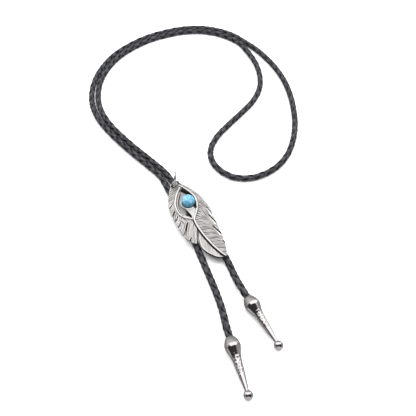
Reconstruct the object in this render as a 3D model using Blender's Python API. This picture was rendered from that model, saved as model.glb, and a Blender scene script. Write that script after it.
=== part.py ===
"""Bolo tie: a braided cord held by a cast feather slide, with two turned metal tips, lying flat.

Metres, +Z up. The origin is the middle of the clip's flat back, which lies on the surface.
The tips point to -Y and the neck loop lies at +Y.
"""
import math

import bmesh
import bpy
from mathutils import Matrix, Vector

for old in list(bpy.data.objects):
    bpy.data.objects.remove(old, do_unlink=True)

# Running gap between pieces that touch
CLEARANCE = 0.0003

# Cord
CORD_DIAMETER = 0.0038
CORD_STEP = 0.0150
CORD_SIDES = 8
CORD_LEAD = 0.006

# Feather, along its own +X from head to tip, with +Y over its right vane
FEATHER_HEADING = math.radians(-60)
FEATHER_LENGTH = 0.0625
FEATHER_WIDTH = 0.0240
FEATHER_EDGE = 0.0015
FEATHER_CROWN = 0.0023
LEAF_THICKNESS = 0.0016
RIDGE_WIDTH = 0.0010
RIDGE_HEIGHT = 0.0029
RIDGE_ROOT = 0.0005
RECESS_FLOOR = 0.0008
EYE_PLATE_HEIGHT = 0.0024
NOTCH_INNER = 0.0005
NOTCH_OUTER = 0.0010
SLOT_INNER = 0.0007
SLOT_OUTER = 0.0014

# Stone and its cup
STONE_DIAMETER = 0.0081
STONE_RISE = 0.0014
CUP_RIM = 0.0026
CUP_WALL = 0.0006
CUP_FLOOR = 0.0010
CUP_SIDES = 28

# Standing loop at the head, and the jump ring in it
LOOP_SPAN = 0.0048
LOOP_HEIGHT = 0.0036
LOOP_WIRE = 0.0011
RING_DIAMETER = 0.0086
RING_WIRE = 0.0009

# Clip under the feather
CLIP_LENGTH = 0.0140
CLIP_PLATE = 0.0008
CLIP_WALL = 0.0010
CORD_SPACING = 0.0083

# Turned tips
TIP_LENGTH = 0.0302
TIP_RADIUS = 0.0042
RIDGE_PLACE = 0.0045
BALL_RADIUS = 0.0024
NECK_RADIUS = 0.0010
SOCKET_WALL = 0.0004
SOCKET_DEPTH = 0.0055
TIP_SIDES = 24
TIP_LEFT_MOUTH = (0.0237, -0.0822)
TIP_LEFT_HEADING = math.radians(-74.2)
TIP_RIGHT_MOUTH = (0.0338, -0.0588)
TIP_RIGHT_HEADING = math.radians(-61.0)

# Worked out from the sizes above
CORD_RADIUS = CORD_DIAMETER / 2
CORD_IN_CLIP = CLIP_PLATE + CLEARANCE + CORD_RADIUS
CLIP_HEIGHT = CLIP_PLATE + CLEARANCE + CORD_DIAMETER
CLIP_WIDTH = CORD_SPACING + CORD_DIAMETER + 2 * (CLEARANCE + CLIP_WALL)
FEATHER_UNDERSIDE = CLIP_HEIGHT + CLEARANCE
STONE_RADIUS = STONE_DIAMETER / 2
CUP_BORE = math.sqrt(STONE_RADIUS ** 2 - STONE_RISE ** 2) + CLEARANCE
SOCKET_RADIUS = CORD_RADIUS + CLEARANCE
TIP_PITCH = math.asin((TIP_RADIUS - BALL_RADIUS) / (TIP_LENGTH - RIDGE_PLACE))

# Feather tables: shares of its length from the head, and of its width across
CLIP_SPOT = (0.350, -0.156)
STONE_SPOT = (0.298, -0.042)
LOOP_SPOT = (0.040, -0.048)
LEFT_EDGE = [
    (0.000, -0.058), (0.014, -0.120), (0.050, -0.215), (0.094, -0.300), (0.140, -0.387),
    (0.190, -0.455), (0.230, -0.500), (0.293, -0.537), (0.380, -0.575), (0.465, -0.592),
    (0.550, -0.595), (0.627, -0.605), (0.683, -0.562), (0.738, -0.492),
]
LOBE_EDGE = [(0.738, -0.492), (0.747, -0.455), (0.720, -0.417), (0.660, -0.338), (0.620, -0.267), (0.594, -0.208)]
RIB_SIDE = [
    (0.594, -0.208), (0.690, -0.215), (0.770, -0.200), (0.850, -0.175), (0.910, -0.140),
    (0.976, -0.090), (1.000, -0.042),
]
RIGHT_EDGE = [
    (1.000, -0.042), (0.992, 0.000), (0.952, 0.054), (0.917, 0.092), (0.856, 0.150),
    (0.808, 0.183), (0.758, 0.212), (0.712, 0.233), (0.666, 0.254), (0.627, 0.279),
    (0.573, 0.296), (0.523, 0.320), (0.472, 0.358), (0.424, 0.379), (0.390, 0.375),
    (0.326, 0.371), (0.250, 0.354), (0.195, 0.308), (0.134, 0.246), (0.066, 0.162),
    (0.026, 0.092), (0.003, 0.033), (0.000, -0.058),
]
LEAF_EDGE = [
    (0.618, -0.208), (0.645, -0.246), (0.714, -0.342), (0.768, -0.387), (0.808, -0.400),
    (0.843, -0.387), (0.891, -0.338), (0.938, -0.267), (0.970, -0.188), (0.988, -0.100),
    (0.992, -0.040),
]
LEAF_ROOT = [(0.910, -0.100), (0.770, -0.165), (0.640, -0.180)]
EYE = [
    (0.099, -0.017), (0.160, 0.083), (0.224, 0.154), (0.280, 0.171), (0.330, 0.125),
    (0.378, 0.054), (0.426, -0.033), (0.474, -0.150), (0.454, -0.233), (0.429, -0.317),
    (0.381, -0.371), (0.317, -0.367), (0.254, -0.329), (0.202, -0.246), (0.142, -0.125),
]
RIGHT_BORDER = [
    (0.048, 0.025), (0.112, 0.100), (0.186, 0.167), (0.258, 0.200), (0.326, 0.163),
    (0.382, 0.088), (0.432, -0.004), (0.467, -0.092), (0.502, -0.167), (0.592, -0.196),
    (0.685, -0.196), (0.766, -0.179), (0.842, -0.154), (0.906, -0.117), (0.966, -0.075),
    (0.990, -0.048),
]
LEFT_BORDER = [
    (0.086, 0.021), (0.142, -0.142), (0.202, -0.267), (0.254, -0.350), (0.317, -0.392),
    (0.384, -0.400), (0.438, -0.342), (0.470, -0.246), (0.496, -0.179),
]
PLATE_EDGE = [(0.340, -0.190), (0.350, 0.080), (0.410, 0.020), (0.500, -0.150), (0.492, -0.185), (0.440, -0.155)]
# Each cut: its inner end, then its outer end, past the edge
NOTCHES = [
    ((0.176, -0.371), (0.192, -0.490)), ((0.243, -0.421), (0.272, -0.560)),
    ((0.317, -0.437), (0.370, -0.605)), ((0.384, -0.450), (0.448, -0.625)),
    ((0.458, -0.483), (0.522, -0.630)), ((0.660, -0.467), (0.698, -0.580)),
    ((0.826, 0.117), (0.874, 0.137)),
]
SLOTS = [
    ((0.498, -0.333), (0.634, -0.640)), ((0.413, 0.304), (0.537, 0.290)),
    ((0.509, 0.221), (0.637, 0.246)), ((0.640, 0.137), (0.770, 0.183)),
]

# Cord route in metres: from the left tip to the clip, the pair's middle line with its extra
# gap, the neck loop, and from the clip to the right tip
LEFT_LEG_OUT = [(0.0204, -0.0660), (0.0167, -0.0532), (0.0126, -0.0416), (0.0082, -0.0296), (0.0042, -0.0186)]
LEFT_LEG_IN = [(-0.0094, 0.0130), (-0.0128, 0.0214)]
PAIR = [
    (-0.0156, 0.0316, 0), (-0.0252, 0.0422, 0), (-0.0352, 0.0525, 0), (-0.0449, 0.0632, 0),
    (-0.0537, 0.0741, 0), (-0.0611, 0.0856, 0.0002), (-0.0662, 0.0985, 0.0004),
    (-0.0681, 0.1120, 0.0005), (-0.0673, 0.1260, 0.0002), (-0.0632, 0.1405, 0),
    (-0.0564, 0.1538, 0), (-0.0467, 0.1650, 0), (-0.0348, 0.1747, 0), (-0.0215, 0.1815, 0),
    (-0.0075, 0.1860, 0), (0.0070, 0.1870, 0), (0.0206, 0.1836, 0), (0.0322, 0.1768, 0),
    (0.0395, 0.1694, 0),
]
NECK_LOOP = [
    (0.0495, 0.1613), (0.0571, 0.1498), (0.0638, 0.1364), (0.0682, 0.1232), (0.0710, 0.1085),
    (0.0721, 0.0933), (0.0716, 0.0778), (0.0688, 0.0622), (0.0637, 0.0488), (0.0569, 0.0393),
    (0.0480, 0.0325), (0.0383, 0.0292), (0.0289, 0.0300), (0.0207, 0.0354), (0.0153, 0.0438),
    (0.0143, 0.0540), (0.0181, 0.0652), (0.0268, 0.0781), (0.0359, 0.0900), (0.0447, 0.1029),
    (0.0499, 0.1174), (0.0504, 0.1320), (0.0482, 0.1445), (0.0417, 0.1610),
]
RIGHT_LEG_IN = [(-0.0099, 0.0264), (-0.0050, 0.0176)]
RIGHT_LEG_OUT = [(0.0152, -0.0178), (0.0227, -0.0315), (0.0272, -0.0432)]


def material(name, colour, metallic, roughness):
    """A plain material for one kind of surface."""
    made = bpy.data.materials.new(name)
    made.use_nodes = True
    shader = made.node_tree.nodes["Principled BSDF"]
    shader.inputs["Base Color"].default_value = (*colour, 1)
    shader.inputs["Metallic"].default_value = metallic
    shader.inputs["Roughness"].default_value = roughness
    return made


SILVER = material("antiqued_silver", (0.58, 0.56, 0.54), 1.0, 0.38)
RING_METAL = material("bright_wire", (0.75, 0.74, 0.72), 1.0, 0.22)
CLIP_METAL = material("clip_steel", (0.45, 0.45, 0.46), 1.0, 0.40)
TIP_METAL = material("polished_gunmetal", (0.42, 0.41, 0.42), 1.0, 0.25)
TURQUOISE = material("turquoise", (0.10, 0.46, 0.68), 0.0, 0.30)
LEATHER = material("braided_leather", (0.022, 0.022, 0.025), 0.0, 0.55)


def add_object(name, bm, surface=None):
    """Link a bmesh as a smooth-shaded object with sharp edges at its corners."""
    bmesh.ops.recalc_face_normals(bm, faces=bm.faces)
    mesh = bpy.data.meshes.new(name)
    bm.to_mesh(mesh)
    bm.free()
    mesh.shade_smooth()
    mesh.set_sharp_from_angle(angle=math.radians(35))
    made = bpy.data.objects.new(name, mesh)
    bpy.context.scene.collection.objects.link(made)
    if surface:
        mesh.materials.append(surface)
    return made


def curve_through(points, samples):
    """Points on a smooth curve through the given ones, the given ones among them.

    samples gives the number of steps in the span from point a to point b.
    """
    spots = [Vector(point) for point in points]
    before = spots[0] * 2 - spots[1]
    after = spots[-1] * 2 - spots[-2]
    padded = [before, *spots, after]
    curve = [spots[0]]
    for back, start, end, ahead in zip(padded, padded[1:], padded[2:], padded[3:]):
        first, span, last = (start - back).length, (end - start).length, (ahead - end).length
        slope_start = ((start - back) / first * span + (end - start) / span * first) / (first + span)
        slope_end = ((end - start) / span * last + (ahead - end) / last * span) / (span + last)
        steps = samples(start, end)
        for step in range(1, steps + 1):
            t = step / steps
            curve.append(
                start * (2 * t ** 3 - 3 * t ** 2 + 1) + slope_start * (t ** 3 - 2 * t ** 2 + t) * span
                + end * (3 * t ** 2 - 2 * t ** 3) + slope_end * (t ** 3 - t ** 2) * span)
    return curve


def feather_spot(share):
    """Metres on the feather for a share of its length and of its width."""
    return (share[0] * FEATHER_LENGTH, share[1] * FEATHER_WIDTH)


def feather_curve(table, steps):
    """A table of shares as a smooth line on the feather, in metres."""
    return [tuple(point) for point in curve_through([feather_spot(share) for share in table], lambda a, b: steps)]


def prism(name, outline, low, high, surface=None):
    """An outline in X and Y, extruded from one height to the other."""
    bm = bmesh.new()
    face = bm.faces.new([bm.verts.new((x, y, low)) for x, y in outline])
    grown = bmesh.ops.extrude_face_region(bm, geom=[face])
    moved = [item for item in grown["geom"] if isinstance(item, bmesh.types.BMVert)]
    bmesh.ops.translate(bm, verts=moved, vec=(0, 0, high - low))
    return add_object(name, bm, surface)


def lengthwise_prism(name, section, start, length, surface=None):
    """A section in Y and Z, extruded along X."""
    bm = bmesh.new()
    face = bm.faces.new([bm.verts.new((start, y, z)) for y, z in section])
    grown = bmesh.ops.extrude_face_region(bm, geom=[face])
    moved = [item for item in grown["geom"] if isinstance(item, bmesh.types.BMVert)]
    bmesh.ops.translate(bm, verts=moved, vec=(length, 0, 0))
    return add_object(name, bm, surface)


def bridge(bm, rings):
    """Close a row of vertex rings into a capped tube."""
    for ring, following in zip(rings, rings[1:]):
        for corner in range(len(ring)):
            beside = (corner + 1) % len(ring)
            bm.faces.new((ring[corner], ring[beside], following[beside], following[corner]))
    bm.faces.new(rings[0])
    bm.faces.new(rings[-1])


def ridge(name, line):
    """A raised wall with a rounded top along a line on the feather."""
    half = RIDGE_WIDTH / 2
    shoulder = RIDGE_HEIGHT - half * 0.6
    section = [
        (-half, RIDGE_ROOT), (half, RIDGE_ROOT), (half, shoulder), (half * 0.45, RIDGE_HEIGHT),
        (-half * 0.45, RIDGE_HEIGHT), (-half, shoulder),
    ]
    bm = bmesh.new()
    rings = []
    for place, point in enumerate(line):
        ahead = Vector(line[min(place + 1, len(line) - 1)])
        behind = Vector(line[max(place - 1, 0)])
        along = (ahead - behind).normalized()
        side = Vector((-along.y, along.x))
        rings.append([bm.verts.new((*(Vector(point) + side * across), height)) for across, height in section])
    bridge(bm, rings)
    return add_object(name, bm)


def turned(name, profile, sides, surface=None):
    """A profile of radius and height, turned about Z."""
    bm = bmesh.new()
    corners = [bm.verts.new((radius, 0, height)) for radius, height in profile]
    edges = [bm.edges.new(pair) for pair in zip(corners, corners[1:])]
    bmesh.ops.spin(
        bm, geom=corners + edges, axis=(0, 0, 1), cent=(0, 0, 0), angle=math.tau, steps=sides, use_merge=True)
    bmesh.ops.remove_doubles(bm, verts=bm.verts, dist=1e-7)
    return add_object(name, bm, surface)


def wedge(bm, inner, outer, inner_width, outer_width, high):
    """One narrow cutter from its inner end to its outer end, right through the plate."""
    start, end = Vector(feather_spot(inner)), Vector(feather_spot(outer))
    side = (end - start).normalized().orthogonal()
    corners = [
        start + side * inner_width / 2, start - side * inner_width / 2,
        end - side * outer_width / 2, end + side * outer_width / 2,
    ]
    rings = [[bm.verts.new((*corner, height)) for corner in corners] for height in (-high, 2 * high)]
    bridge(bm, rings)


def boolean(target, operation, tool):
    """Cut, join or trim the target with a tool that stays out of the build."""
    step = target.modifiers.new(tool.name, "BOOLEAN")
    step.operation = operation
    step.solver = "EXACT"
    step.object = tool
    tool.parent = target
    tool.hide_render = True
    tool.display_type = "WIRE"


def crown_height(across, middle, half):
    """Thickness of the plain feather plate at a place across it."""
    return FEATHER_EDGE + (FEATHER_CROWN - FEATHER_EDGE) * (1 - ((across - middle) / half) ** 2)


def make_feather():
    """The cast feather: domed plate, cuts, eye, rib, cup and standing loop in one solid."""
    outline = feather_curve(LEFT_EDGE, 2) + feather_curve(LOBE_EDGE, 2)[1:]
    outline += feather_curve(RIB_SIDE, 1)[1:] + feather_curve(RIGHT_EDGE, 1)[1:-1]
    feather = prism("feather_plate", outline, 0, FEATHER_CROWN * 2, SILVER)

    ends = [feather_spot(share)[1] for share in LEFT_EDGE + RIGHT_EDGE]
    middle = (min(ends) + max(ends)) / 2
    half = (max(ends) - min(ends)) / 2
    strips = 12
    rim = [middle + half * (1 - 2 * strip / strips) for strip in range(strips + 1)]
    section = [(across, crown_height(across, middle, half)) for across in rim]
    section = [(rim[0] + half, FEATHER_EDGE), *section, (rim[-1] - half, FEATHER_EDGE)]
    section += [(rim[-1] - half, -FEATHER_EDGE), (rim[0] + half, -FEATHER_EDGE)]
    crown = lengthwise_prism("crown_form", section, -FEATHER_LENGTH / 2, FEATHER_LENGTH * 2)
    boolean(feather, "INTERSECT", crown)

    leaf_outline = feather_curve(LEAF_EDGE, 2) + [feather_spot(share) for share in LEAF_ROOT]
    boolean(feather, "UNION", prism("leaf_form", leaf_outline, 0, LEAF_THICKNESS))

    cuts = bmesh.new()
    for inner, outer in NOTCHES:
        wedge(cuts, inner, outer, NOTCH_INNER, NOTCH_OUTER, FEATHER_CROWN)
    for inner, outer in SLOTS:
        wedge(cuts, inner, outer, SLOT_INNER, SLOT_OUTER, FEATHER_CROWN)
    boolean(feather, "DIFFERENCE", add_object("barb_cuts", cuts))

    eye_outline = feather_curve(EYE + EYE[:1], 2)[:-1]
    boolean(feather, "DIFFERENCE", prism("eye_recess", eye_outline, RECESS_FLOOR, FEATHER_CROWN * 2))
    boolean(feather, "UNION", ridge("left_border_form", feather_curve(LEFT_BORDER, 2)))
    boolean(feather, "UNION", ridge("right_border_form", feather_curve(RIGHT_BORDER, 2)))

    plate_outline = [feather_spot(share) for share in PLATE_EDGE]
    boolean(feather, "UNION", prism("eye_plate_form", plate_outline, RIDGE_ROOT, EYE_PLATE_HEIGHT))
    stone_x, stone_y = feather_spot(STONE_SPOT)
    cup_outer = CUP_BORE + CUP_WALL
    cup_profile = [(0, RIDGE_ROOT), (cup_outer, RIDGE_ROOT), (cup_outer, CUP_RIM), (0, CUP_RIM)]
    cup = turned("cup_form", cup_profile, CUP_SIDES)
    cup.location = (stone_x, stone_y, 0)
    boolean(feather, "UNION", cup)
    bore_top = RIDGE_HEIGHT * 2
    bore_profile = [(0, CUP_FLOOR), (CUP_BORE, CUP_FLOOR), (CUP_BORE, bore_top), (0, bore_top)]
    bore = turned("cup_bore", bore_profile, CUP_SIDES)
    bore.location = (stone_x, stone_y, 0)
    bore.rotation_euler = (0, 0, math.pi / CUP_SIDES)
    boolean(feather, "DIFFERENCE", bore)

    boolean(feather, "UNION", make_loop())
    clip_x, clip_y = feather_spot(CLIP_SPOT)
    turn = Matrix.Rotation(FEATHER_HEADING, 4, "Z")
    feather.location = turn @ Vector((-clip_x, -clip_y, FEATHER_UNDERSIDE))
    feather.rotation_euler = (0, 0, FEATHER_HEADING)
    return feather


def make_loop():
    """The standing loop at the head: a round wire arch across the feather."""
    place_x, place_y = feather_spot(LOOP_SPOT)
    foot = RIDGE_ROOT
    spring = FEATHER_CROWN
    line = [Vector((-LOOP_SPAN / 2, foot))]
    turns = 14
    for turn in range(turns + 1):
        angle = math.pi * (1 - turn / turns)
        line.append(Vector((math.cos(angle) * LOOP_SPAN / 2, spring + math.sin(angle) * LOOP_HEIGHT)))
    line.append(Vector((LOOP_SPAN / 2, foot)))
    sides = 8
    bm = bmesh.new()
    rings = []
    for place, point in enumerate(line):
        along = (line[min(place + 1, len(line) - 1)] - line[max(place - 1, 0)]).normalized()
        if place in (0, len(line) - 1):
            along = Vector((0, 1 if place == 0 else -1))
        normal = Vector((-along.y, along.x))
        ring = []
        for side in range(sides):
            angle = math.tau * side / sides
            reach = normal * math.cos(angle) * LOOP_WIRE / 2 + point
            ring.append(bm.verts.new((place_x + math.sin(angle) * LOOP_WIRE / 2, place_y + reach.x, reach.y)))
        rings.append(ring)
    bridge(bm, rings)
    return add_object("loop_form", bm)


def on_feather(share, height):
    """World place of a share of the feather, at a height above its underside."""
    clip_x, clip_y = feather_spot(CLIP_SPOT)
    x, y = feather_spot(share)
    turn = Matrix.Rotation(FEATHER_HEADING, 4, "Z")
    return turn @ Vector((x - clip_x, y - clip_y, FEATHER_UNDERSIDE + height))


def make_stone():
    """The domed round stone, seated in the cup."""
    base = CUP_RIM + STONE_RISE - CUP_FLOOR - CLEARANCE
    low = -math.asin(base / STONE_RADIUS)
    rows = 11
    profile = [(0, -base)]
    for row in range(rows + 1):
        angle = low + (math.pi / 2 - low) * row / rows
        profile.append((STONE_RADIUS * math.cos(angle), STONE_RADIUS * math.sin(angle)))
    profile[-1] = (0, STONE_RADIUS)
    stone = turned("turquoise_stone", profile, 24, TURQUOISE)
    stone.location = on_feather(STONE_SPOT, CUP_RIM + STONE_RISE)


def make_ring():
    """The jump ring, upright through the loop, hooked over the plate's end from the loop's bar."""
    radius = (RING_DIAMETER - RING_WIRE) / 2
    middle = FEATHER_CROWN + CLEARANCE + RING_WIRE / 2 + radius
    reach = radius - (RING_WIRE + LOOP_WIRE) / 2 - 2 * CLEARANCE
    back = math.sqrt(reach ** 2 - (middle - FEATHER_CROWN - LOOP_HEIGHT) ** 2)
    bpy.ops.mesh.primitive_torus_add(
        major_segments=28, minor_segments=8, major_radius=radius, minor_radius=RING_WIRE / 2)
    ring = bpy.context.object
    ring.name = "bail_ring"
    ring.data.name = "bail_ring"
    ring.data.materials.append(RING_METAL)
    ring.data.shade_smooth()
    ring.location = on_feather(LOOP_SPOT, middle) + Vector((0, back, 0))
    ring.rotation_euler = (0, math.pi / 2, 0)


def make_clip():
    """The clip: a flat back, a middle block and two side walls that guide the cord's two runs."""
    half = CLIP_WIDTH / 2
    block = (CORD_SPACING - CORD_DIAMETER) / 2 - CLEARANCE
    section = [
        (-half, 0), (half, 0), (half, CLIP_HEIGHT), (half - CLIP_WALL, CLIP_HEIGHT),
        (half - CLIP_WALL, CLIP_PLATE), (block, CLIP_PLATE), (block, CLIP_HEIGHT),
        (-block, CLIP_HEIGHT), (-block, CLIP_PLATE), (-half + CLIP_WALL, CLIP_PLATE),
        (-half + CLIP_WALL, CLIP_HEIGHT), (-half, CLIP_HEIGHT),
    ]
    clip = lengthwise_prism("back_clip", section, -CLIP_LENGTH / 2, CLIP_LENGTH, CLIP_METAL)
    clip.rotation_euler = (0, 0, FEATHER_HEADING)


def tip_direction(heading):
    """Unit vector from a tip's mouth to its ball, sloping down to the surface."""
    flat = math.cos(TIP_PITCH)
    return Vector((math.cos(heading) * flat, math.sin(heading) * flat, -math.sin(TIP_PITCH)))


def tip_mouth(spot):
    """Middle of a tip's mouth, with its ridge and its ball on the surface."""
    return Vector((*spot, TIP_RADIUS + RIDGE_PLACE * math.sin(TIP_PITCH)))


# Turned profile of a tip past its mouth: share of the length, share of the ridge's radius
COLLAR = [(0.20, 0.73), (0.45, 0.86), (0.72, 0.95), (0.90, 0.99)]
TAPER = [(0.04, 0.98), (0.09, 0.89), (0.14, 0.79), (0.21, 0.67), (0.29, 0.59), (0.50, 0.49), (0.71, 0.36)]


def make_tip(name, spot, heading):
    """One turned tip: socket, collar, ridge, tapering shaft and ball."""
    mouth = SOCKET_RADIUS + SOCKET_WALL
    profile = [(0, SOCKET_DEPTH), (SOCKET_RADIUS, SOCKET_DEPTH), (SOCKET_RADIUS, 0), (mouth, 0)]
    profile += [(TIP_RADIUS * wide, RIDGE_PLACE * along) for along, wide in COLLAR]
    profile.append((TIP_RADIUS, RIDGE_PLACE))
    run = TIP_LENGTH - RIDGE_PLACE
    profile += [(TIP_RADIUS * wide, RIDGE_PLACE + run * along) for along, wide in TAPER]
    first = math.asin(NECK_RADIUS / BALL_RADIUS)
    rows = 9
    for row in range(rows + 1):
        angle = first + (math.pi - first) * row / rows
        profile.append((BALL_RADIUS * math.sin(angle), TIP_LENGTH - BALL_RADIUS * math.cos(angle)))
    profile[-1] = (0, TIP_LENGTH + BALL_RADIUS)
    tip = turned(name, profile, TIP_SIDES, TIP_METAL)
    tip.location = tip_mouth(spot)
    tip.rotation_euler = tip_direction(heading).to_track_quat("Z", "Y").to_euler()


def clip_run(side):
    """The two ends of one cord run through the clip, from the feather's tip side to its head."""
    turn = Matrix.Rotation(FEATHER_HEADING, 4, "Z")
    across = side * CORD_SPACING / 2
    return [turn @ Vector((along, across, CORD_IN_CLIP)) for along in (CLIP_LENGTH / 2, -CLIP_LENGTH / 2)]


def pair_strand(side):
    """One strand of the pair: side 1 is the outer strand, -1 the inner one."""
    strand = []
    for place, (x, y, spread) in enumerate(PAIR):
        ahead = PAIR[min(place + 1, len(PAIR) - 1)]
        behind = PAIR[max(place - 1, 0)]
        along = Vector((ahead[0] - behind[0], ahead[1] - behind[1])).normalized()
        reach = side * (CORD_DIAMETER + CLEARANCE + spread) / 2
        strand.append(Vector((x - along.y * reach, y + along.x * reach, CORD_RADIUS)))
    return strand


def tip_end(spot, heading):
    """The cord's last two points at a tip: deep in its socket, and just outside its mouth."""
    mouth, direction = tip_mouth(spot), tip_direction(heading)
    return [mouth + direction * (SOCKET_DEPTH - CLEARANCE), mouth - direction * CORD_LEAD]


def cord_route():
    """All the points that the cord passes, from the left tip to the right one."""
    def lying(points):
        return [Vector((x, y, CORD_RADIUS)) for x, y in points]

    route = tip_end(TIP_LEFT_MOUTH, TIP_LEFT_HEADING) + lying(LEFT_LEG_OUT) + clip_run(-1) + lying(LEFT_LEG_IN)
    route += pair_strand(1) + lying(NECK_LOOP) + pair_strand(-1)[::-1]
    route += lying(RIGHT_LEG_IN) + clip_run(1)[::-1] + lying(RIGHT_LEG_OUT)
    return route + tip_end(TIP_RIGHT_MOUTH, TIP_RIGHT_HEADING)[::-1]


def make_cord():
    """The cord: one round tube along its route, nowhere below the surface."""
    line = curve_through(cord_route(), lambda a, b: math.ceil((b - a).length / CORD_STEP))
    curve = bpy.data.curves.new("cord", "CURVE")
    curve.dimensions = "3D"
    curve.bevel_depth = CORD_RADIUS
    curve.bevel_resolution = CORD_SIDES // 2 - 2
    curve.use_fill_caps = True
    spline = curve.splines.new("POLY")
    spline.points.add(len(line) - 1)
    for knot, point in zip(spline.points, line):
        knot.co = (point.x, point.y, max(point.z, CORD_RADIUS), 1)
    curve.materials.append(LEATHER)
    bpy.context.scene.collection.objects.link(bpy.data.objects.new("cord", curve))


make_feather()
make_stone()
make_ring()
make_clip()
make_cord()
make_tip("tip_left", TIP_LEFT_MOUTH, TIP_LEFT_HEADING)
make_tip("tip_right", TIP_RIGHT_MOUTH, TIP_RIGHT_HEADING)
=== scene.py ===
"""The look of a bolo tie: braided leather cord, cast feather with a turquoise stone, turned metal tips."""
import math

import bpy
import numpy as np
from mathutils import Matrix, Vector, noise


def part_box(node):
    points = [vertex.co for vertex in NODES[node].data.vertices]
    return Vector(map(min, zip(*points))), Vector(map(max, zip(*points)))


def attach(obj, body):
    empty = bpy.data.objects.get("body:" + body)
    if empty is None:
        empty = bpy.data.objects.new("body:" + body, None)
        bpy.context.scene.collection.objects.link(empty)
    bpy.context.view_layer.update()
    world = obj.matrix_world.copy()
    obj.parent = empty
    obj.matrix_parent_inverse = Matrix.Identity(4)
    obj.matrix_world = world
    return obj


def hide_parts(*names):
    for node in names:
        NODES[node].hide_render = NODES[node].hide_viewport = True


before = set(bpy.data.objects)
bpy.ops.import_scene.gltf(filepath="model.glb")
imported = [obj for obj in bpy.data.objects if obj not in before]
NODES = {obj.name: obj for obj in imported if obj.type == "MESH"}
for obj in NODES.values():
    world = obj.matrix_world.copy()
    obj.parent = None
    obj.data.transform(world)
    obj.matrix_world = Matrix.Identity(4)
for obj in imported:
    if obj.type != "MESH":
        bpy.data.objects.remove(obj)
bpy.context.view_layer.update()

TO_MILLIMETRES = 1000

# Sizes shared with the solids, in metres
CLEARANCE = 0.0003
CORD_DIAMETER = 0.0038
CORD_RADIUS = CORD_DIAMETER / 2
CORD_LEAD = 0.006
FEATHER_HEADING = math.radians(-60)
FEATHER_LENGTH = 0.0625
FEATHER_WIDTH = 0.0240
CORD_SPACING = 0.0083
CLIP_LENGTH = 0.0140
CLIP_PLATE = 0.0008
CORD_IN_CLIP = CLIP_PLATE + CLEARANCE + CORD_RADIUS
FEATHER_UNDERSIDE = CLIP_PLATE + CLEARANCE + CORD_DIAMETER + CLEARANCE
TIP_LENGTH = 0.0302
TIP_RADIUS = 0.0042
RIDGE_PLACE = 0.0045
BALL_RADIUS = 0.0024
NECK_RADIUS = 0.0010
SOCKET_DEPTH = 0.0055
SOCKET_RADIUS = CORD_RADIUS + CLEARANCE
SOCKET_WALL = 0.0004
TIP_PITCH = math.asin((TIP_RADIUS - BALL_RADIUS) / (TIP_LENGTH - RIDGE_PLACE))
TIP_LEFT_MOUTH = (0.0237, -0.0822)
TIP_LEFT_HEADING = math.radians(-74.2)
TIP_RIGHT_MOUTH = (0.0338, -0.0588)
TIP_RIGHT_HEADING = math.radians(-61.0)
CLIP_SPOT = (0.350, -0.156)

# The cord's route, as in the solids
LEFT_LEG_OUT = [
    (0.0204, -0.0660), (0.0167, -0.0532), (0.0126, -0.0416), (0.0082, -0.0296), (0.0042, -0.0186),
]
LEFT_LEG_IN = [(-0.0094, 0.0130), (-0.0128, 0.0214)]
PAIR = [
    (-0.0156, 0.0316, 0), (-0.0252, 0.0422, 0), (-0.0352, 0.0525, 0), (-0.0449, 0.0632, 0),
    (-0.0537, 0.0741, 0), (-0.0611, 0.0856, 0.0002), (-0.0662, 0.0985, 0.0004),
    (-0.0681, 0.1120, 0.0005), (-0.0673, 0.1260, 0.0002), (-0.0632, 0.1405, 0),
    (-0.0564, 0.1538, 0), (-0.0467, 0.1650, 0), (-0.0348, 0.1747, 0), (-0.0215, 0.1815, 0),
    (-0.0075, 0.1860, 0), (0.0070, 0.1870, 0), (0.0206, 0.1836, 0), (0.0322, 0.1768, 0),
    (0.0395, 0.1694, 0),
]
NECK_LOOP = [
    (0.0495, 0.1613), (0.0571, 0.1498), (0.0638, 0.1364), (0.0682, 0.1232), (0.0710, 0.1085),
    (0.0721, 0.0933), (0.0716, 0.0778), (0.0688, 0.0622), (0.0637, 0.0488), (0.0569, 0.0393),
    (0.0480, 0.0325), (0.0383, 0.0292), (0.0289, 0.0300), (0.0207, 0.0354), (0.0153, 0.0438),
    (0.0143, 0.0540), (0.0181, 0.0652), (0.0268, 0.0781), (0.0359, 0.0900), (0.0447, 0.1029),
    (0.0499, 0.1174), (0.0504, 0.1320), (0.0482, 0.1445), (0.0417, 0.1610),
]
RIGHT_LEG_IN = [(-0.0099, 0.0264), (-0.0050, 0.0176)]
RIGHT_LEG_OUT = [(0.0152, -0.0178), (0.0227, -0.0315), (0.0272, -0.0432)]

# Lines on the feather, as shares of its length from the head and of its width across
RIGHT_BORDER = [
    (0.048, 0.025), (0.112, 0.100), (0.186, 0.167), (0.258, 0.200), (0.326, 0.163),
    (0.382, 0.088), (0.432, -0.004), (0.467, -0.092), (0.502, -0.167), (0.592, -0.196),
    (0.685, -0.196), (0.766, -0.179), (0.842, -0.154), (0.906, -0.117), (0.966, -0.075),
    (0.990, -0.048),
]
LEFT_BORDER = [
    (0.086, 0.021), (0.142, -0.142), (0.202, -0.267), (0.254, -0.350), (0.317, -0.392),
    (0.384, -0.400), (0.438, -0.342), (0.470, -0.246), (0.496, -0.179),
]
LEAF_EDGE = [
    (0.618, -0.208), (0.645, -0.246), (0.714, -0.342), (0.768, -0.387), (0.808, -0.400),
    (0.843, -0.387), (0.891, -0.338), (0.938, -0.267), (0.970, -0.188), (0.988, -0.100),
    (0.992, -0.040),
]
STONE_SPOT = (0.298, -0.042)


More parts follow.
